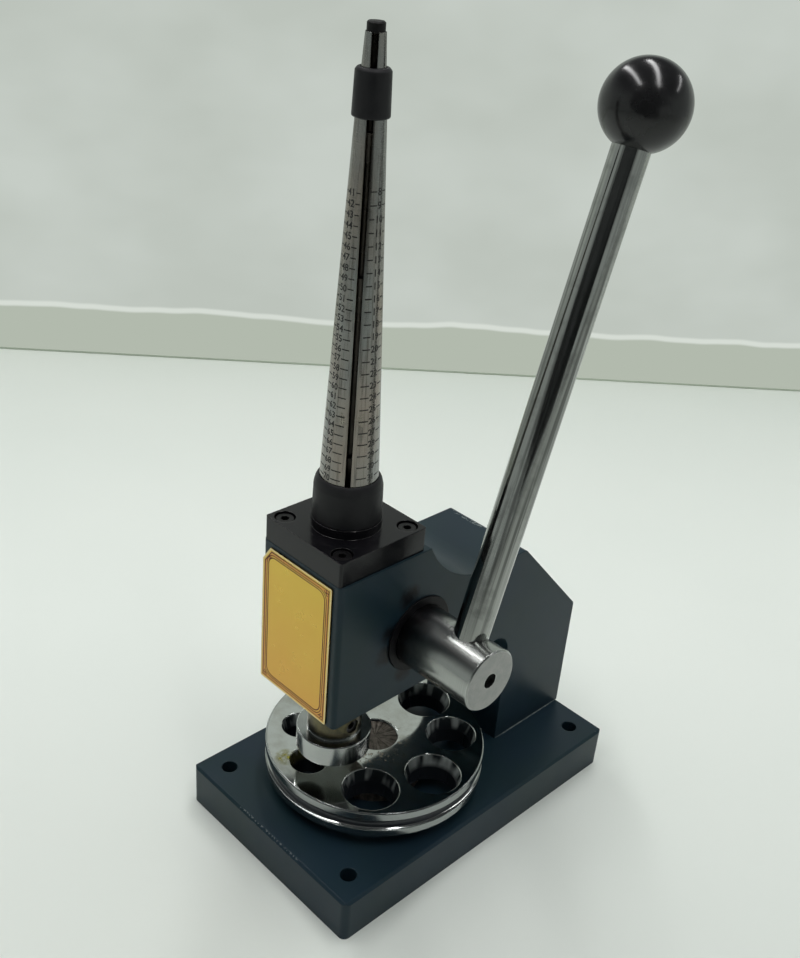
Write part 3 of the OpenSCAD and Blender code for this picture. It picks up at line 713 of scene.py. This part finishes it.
def paint_bead():
    """Thick line of paint that ran into the corner between the upright and the base, coloured pale
    as a painted highlight along the joint.
    """
    bm = bmesh.new()
    start, end = 0.0368, 0.0815    # along Y
    rings, sides = 60, 6
    rows = []
    for i in range(rings + 1):
        y = start + (end - start) * i / rings
        fade = min(1.0, 6 * i / rings, 6 * (rings - i) / rings)    # thinner towards both ends
        r = (0.12 + fade * (0.24 + 0.07 * sin(i * 0.9) + 0.05 * sin(i * 2.3 + 1))) * MM
        rows.append([bm.verts.new((HEAD_SIDE + r * cos(a), y, BASE_TOP + r * sin(a)))
                     for a in (2 * pi * k / sides for k in range(sides))])
    for a, b in zip(rows, rows[1:]):
        for k in range(sides):
            m = (k + 1) % sides
            bm.faces.new((a[k], a[m], b[m], b[k]))
    bm.faces.new(rows[0])
    bm.faces.new(reversed(rows[-1]))
    f = Finish("paint_bead", {"Specular IOR Level": 0.5})
    # Pale colour: painted highlight along the joint
    f.set("Base Color", f.tint(f.level(f.noise(2 * MM, 3), 0.35, 0.65),
                               linear(74, 84, 88), linear(118, 124, 122)))
    f.set("Roughness", f.level(f.noise(1 * MM, 2), 0.3, 0.7, 0.22, 0.4))
    new_piece("paint_bead", bm, f.material, "stand")


def softened(corners, reach, steps=4):
    """Closed outline whose corners are drawn as short curves."""
    path = []
    for i, corner in enumerate(corners):
        here = Vector(corner)
        ends = []
        for other in (corners[i - 1], corners[(i + 1) % len(corners)]):
            run = Vector(other) - here
            ends.append(here + run.normalized() * min(reach, 0.45 * run.length))
        for k in range(steps + 1):
            t = k / steps
            path.append(ends[0].lerp(here, t).lerp(here.lerp(ends[1], t), t))
    return path


def rubber_sleeve(node, corners, reach, material):
    """Sleeve round the mandrel, turned from corners given as (radius, height), a little lumpy."""
    bm = bmesh.new()
    path, sides = softened(corners, reach), 96
    rings = []
    for k in range(sides):
        a = 2 * pi * k / sides
        ring = []
        for r, z in path:
            r += 0.03 * MM * (1 + sin(2 * a + z / (4 * MM)) * sin(3 * a + 1))
            ring.append(bm.verts.new((r * cos(a), RAM_AXIS_Y + r * sin(a), z)))
        rings.append(ring)
    for k, ring in enumerate(rings):
        after = rings[(k + 1) % sides]
        for i in range(len(path)):
            j = (i + 1) % len(path)
            bm.faces.new((ring[i], after[i], after[j], ring[j])).smooth = True
    piece = new_piece(node + "_rubber", bm, material, "stand")
    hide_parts(node)


SNUG = 0.05 * MM                    # between a sleeve and the steel inside it
LOWER_SLEEVE_R = 13.4 * MM          # at its foot
# Wall of the lower sleeve towards its top: (height, thickness) in mm
LOWER_SLEEVE_WALL = ((175.5, 1.8), (177.9, 1.3), (178.9, 0.75), (179.3, 0.3), (179.3, 0.05))
UPPER_SLEEVE_Z = (308.4 * MM, 323.7 * MM)


def rubber_sleeves(material):
    """Both sleeves, on the walls that the CAD gives them."""
    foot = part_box("lower_sleeve")[0][2]
    corners = [(mandrel_radius(foot) + SNUG, foot), (LOWER_SLEEVE_R, foot)]
    corners += [(mandrel_radius(z * MM) + wall * MM, z * MM) for z, wall in LOWER_SLEEVE_WALL]
    rubber_sleeve("lower_sleeve", corners, 0.5 * MM, material)
    low, high = UPPER_SLEEVE_Z
    corners = [(step_radius(low) + SNUG, low), (6.05 * MM, low), (6.35 * MM, low + 0.4 * MM),
               (5.95 * MM, high - 1 * MM), (5.1 * MM, high), (step_radius(high) + SNUG, high)]
    rubber_sleeve("upper_sleeve", corners, 0.35 * MM, material)


# ---------------------------------------------------------------- stage, light and camera

def stage_sheet(name, corners, material):
    bm = bmesh.new()
    bm.faces.new([bm.verts.new(c) for c in corners])
    sheet = mesh_object(name, bm, material)


# Two points of the seam between floor and wall, found in the photograph
SEAM_A, SEAM_B = Vector((-0.5755, 0.0892, 0)), Vector((-0.1231, 0.5998, 0))
STAGE_HALF_WIDTH, FLOOR_DEPTH, WALL_HEIGHT = 1.6, 2.2, 0.54
SEAM_WIDTH, SEAM_LIFT = 3.5 * MM, 0.2 * MM
# Height of the painted highlight of a fold along the wall
FOLD_HEIGHT = 40 * MM    # pale fold along the wall


def seam_frame():
    """Middle of the seam between floor and wall, its direction, and the way back to the part."""
    along = (SEAM_B - SEAM_A).normalized()
    toward = Vector((along.y, -along.x, 0))
    return (SEAM_A + SEAM_B) / 2, along, toward


def floor_material():
    """Pale sheet, with painted shade making it a little darker towards the camera."""
    f = Finish("floor_sheet", {"Roughness": 0.6, "Specular IOR Level": 0.2})
    tone = f.tint(f.level(f.noise(0.25, 3), 0.3, 0.7), linear(232, 238, 232), linear(236, 241, 235))
    # Painted shade: the floor darkens towards the camera
    painted_shade_ahead = f.level(f.distance_along(TOWARD_CAMERA), -0.10, 0.25)
    f.set("Base Color", f.tint(painted_shade_ahead, tone, linear(220, 226, 219)))
    return f.material


def glow_material(name, colour, shade, foot):
    """Evenly lit sheet, seen only from its front, with a painted highlight of a fold a little above
    its foot, and darker below it.
    """
    f = Finish(name)
    tone = f.tint(f.level(f.noise(0.16, 3, stretch=(1, 1, 0.6)), 0.35, 0.65),
                  linear(*colour), linear(*shade))
    wave = f.math("SUBTRACT", f.noise(0.09, 2, stretch=(1, 1, 50)), 0.5)
    height = f.math("ADD", f.distance_along(UP), f.math("MULTIPLY", wave, 12 * MM))
    below = f.fade(height, FOLD_HEIGHT - 3 * MM, FOLD_HEIGHT - 1 * MM)
    tone = f.tint(below, tone, linear(*foot))
    # Painted highlight along the fold
    away = f.math("ABSOLUTE", f.math("SUBTRACT", height, FOLD_HEIGHT))
    tone = f.tint(f.level(away, 1.2 * MM, 3.2 * MM, 0.7, 0.0), tone, linear(222, 228, 220))
    lit = f.node("Emission", {"Color": tone, "Strength": 1.0}).outputs[0]
    clear = f.node("BsdfTransparent").outputs[0]
    behind = f.node("NewGeometry").outputs["Backfacing"]
    mixed = f.node("MixShader", {0: behind, 1: lit, 2: clear}).outputs[0]
    out = next(n for n in f.tree.nodes if n.type == "OUTPUT_MATERIAL")
    f.feed(out.inputs["Surface"], mixed)
    return f.material


def plain_material(name, colour, rough):
    f = Finish(name, {"Roughness": rough, "Specular IOR Level": 0.1})
    lighter = linear(*(c * 1.2 for c in colour))
    f.set("Base Color", f.tint(f.noise(0.2), linear(*colour), lighter))
    return f.material


def build_stage():
    middle, along, toward = seam_frame()
    left, right = middle - along * STAGE_HALF_WIDTH, middle + along * STAGE_HALF_WIDTH
    front, top = toward * FLOOR_DEPTH, UP * WALL_HEIGHT
    stage_sheet("floor", [left, left + front, right + front, right], floor_material())
    stage_sheet("wall", [left, right, right + top, left + top],
                glow_material("wall_sheet", (198, 205, 198), (188, 195, 187), (178, 186, 173)))
    lift, line = UP * SEAM_LIFT, toward * SEAM_WIDTH
    stage_sheet("seam", [left + lift, left + line + lift, right + line + lift, right + lift],
                plain_material("seam_shadow", (150, 160, 146), 0.8))
    dark_card()


# Lower edge of the dark screen: (bearing off the camera's, in degrees; height)
CARD_EDGE = ((-44, 0.34), (-30, 0.25), (-20, 0.21), (-4, 0.195), (2, 0.15), (33, 0.165))
CARD_RADIUS, CARD_TOP = 0.46, 1.0


def dark_card():
    """Dark screen that polished metal mirrors, as the unlit room is in the photograph."""
    toward = CAMERA_AT - RAM_AXIS
    facing = atan2(toward.y, toward.x)
    bm = bmesh.new()
    rows = []
    for (off, low), (next_off, next_low) in zip(CARD_EDGE, CARD_EDGE[1:]):
        steps = max(1, ceil((next_off - off) / 4))
        for i in range(steps + (next_off == CARD_EDGE[-1][0])):
            share = i / steps
            a = facing + radians(off + (next_off - off) * share)
            p = RAM_AXIS + CARD_RADIUS * Vector((cos(a), sin(a), 0))
            rows.append([bm.verts.new((p.x, p.y, z))
                         for z in (low + (next_low - low) * share, CARD_TOP)])
    for a, b in zip(rows, rows[1:]):
        bm.faces.new((a[0], b[0], b[1], a[1]))
    card = mesh_object("dark_card", bm, plain_material("card_black", (62, 63, 64), 0.9))
    card.visible_camera = card.visible_diffuse = card.visible_shadow = False


# Ceiling tubes, found from their streaks on the ball: (x, y) of both ends at TUBE_HEIGHT
TUBE_HEIGHT = 1.5
TUBES = (((-1.71, 0.64), (0.25, -1.0)), ((-0.72, 0.89), (0.93, -0.31)),
         ((0.33, 1.91), (1.73, 1.15)))
TUBE_RADIANCE = (11.6, 11.6, 8.2)
TUBE_WIDTH = 0.16


def build_lights():
    for i, (start, end) in enumerate(TUBES):
        a, b = Vector((*start, TUBE_HEIGHT)), Vector((*end, TUBE_HEIGHT))
        lamp = bpy.data.lights.new(f"tube_{i + 1}", "AREA")
        lamp.shape = "RECTANGLE"
        lamp.size, lamp.size_y = (b - a).length, TUBE_WIDTH
        lamp.energy = TUBE_RADIANCE[i] * pi * lamp.size * lamp.size_y
        holder = linked(lamp.name, lamp)
        holder.location = (a + b) / 2
        holder.rotation_euler = (0, 0, atan2(b.y - a.y, b.x - a.x))


# What the world shows: two colours, and the (start, end) of ramps over its directions
ROOM_PALE, ROOM_DIM = (172, 178, 174), (62, 64, 65)
DIM_SIDE, DIM_HORIZON, DIM_OVERHEAD = (0.45, 0.85), (0.04, 0.24), (0.28, 0.60)


def build_world():
    """Pale low down, dim overhead, and dim above the horizon on the camera's side."""
    world = bpy.data.worlds.new("room")
    bpy.context.scene.world = world
    world.use_nodes = True
    nodes, links = world.node_tree.nodes, world.node_tree.links

    def ramp(value, low, high):
        made = nodes.new("ShaderNodeMapRange")
        made.inputs["From Min"].default_value, made.inputs["From Max"].default_value = low, high
        links.new(value, made.inputs["Value"])
        return made.outputs["Result"]

    place = nodes.new("ShaderNodeTexCoord").outputs["Generated"]
    parts = nodes.new("ShaderNodeSeparateXYZ")
    links.new(place, parts.inputs[0])
    side = nodes.new("ShaderNodeVectorMath")
    side.operation = "DOT_PRODUCT"
    side.inputs[1].default_value = TOWARD_CAMERA
    links.new(place, side.inputs[0])
    near_side = nodes.new("ShaderNodeMath")
    near_side.operation = "MULTIPLY"
    links.new(ramp(side.outputs["Value"], *DIM_SIDE), near_side.inputs[0])
    links.new(ramp(parts.outputs["Z"], *DIM_HORIZON), near_side.inputs[1])
    dim = nodes.new("ShaderNodeMath")
    dim.operation = "MAXIMUM"
    links.new(near_side.outputs[0], dim.inputs[0])
    links.new(ramp(parts.outputs["Z"], *DIM_OVERHEAD), dim.inputs[1])
    mixed = nodes.new("ShaderNodeMix")
    mixed.data_type = "RGBA"
    mixed.inputs[6].default_value = linear(*ROOM_PALE)
    mixed.inputs[7].default_value = linear(*ROOM_DIM)
    links.new(dim.outputs[0], mixed.inputs[0])
    links.new(mixed.outputs[2], nodes["Background"].inputs["Color"])
    nodes["Background"].inputs["Strength"].default_value = 1.0


def build_camera():
    data = bpy.data.cameras.new("camera")
    data.lens, data.sensor_width = LENS, SENSOR_WIDTH
    data.clip_start, data.clip_end = 0.01, 20.0
    camera = linked("camera", data)
    camera.location = CAMERA_AT
    camera.rotation_mode = "QUATERNION"
    aim = (CAMERA_TARGET - CAMERA_AT).to_track_quat("-Z", "Y")
    camera.rotation_quaternion = aim @ Quaternion((0, 0, 1), radians(CAMERA_ROLL))
    bpy.context.scene.camera = camera


def build_pieces(black_rubber):
    """The pieces that the CAD doesn't have, and the two that take the place of its sleeves."""
    shapes = digit_shapes(DIGIT_HEIGHT, DIGIT_BOLD)
    mandrel_scale("scale_right", "mandrel_segment_1", range(8, 32), RIGHT_SCALE, (-30, 30, 2),
                  shapes)
    mandrel_scale("scale_left", "mandrel_segment_4", range(41, 71), LEFT_SCALE, (-120, -60, -92),
                  shapes)
    plate_print()
    paint_bead()
    rubber_sleeves(black_rubber)


def main():
    bpy.context.scene.view_settings.view_transform = "Standard"
    build_camera()
    build_stage()
    build_lights()
    build_world()
    black_rubber = rubber()
    dress_cad(frame["nodes"], black_rubber)
    build_pieces(black_rubber)


main()
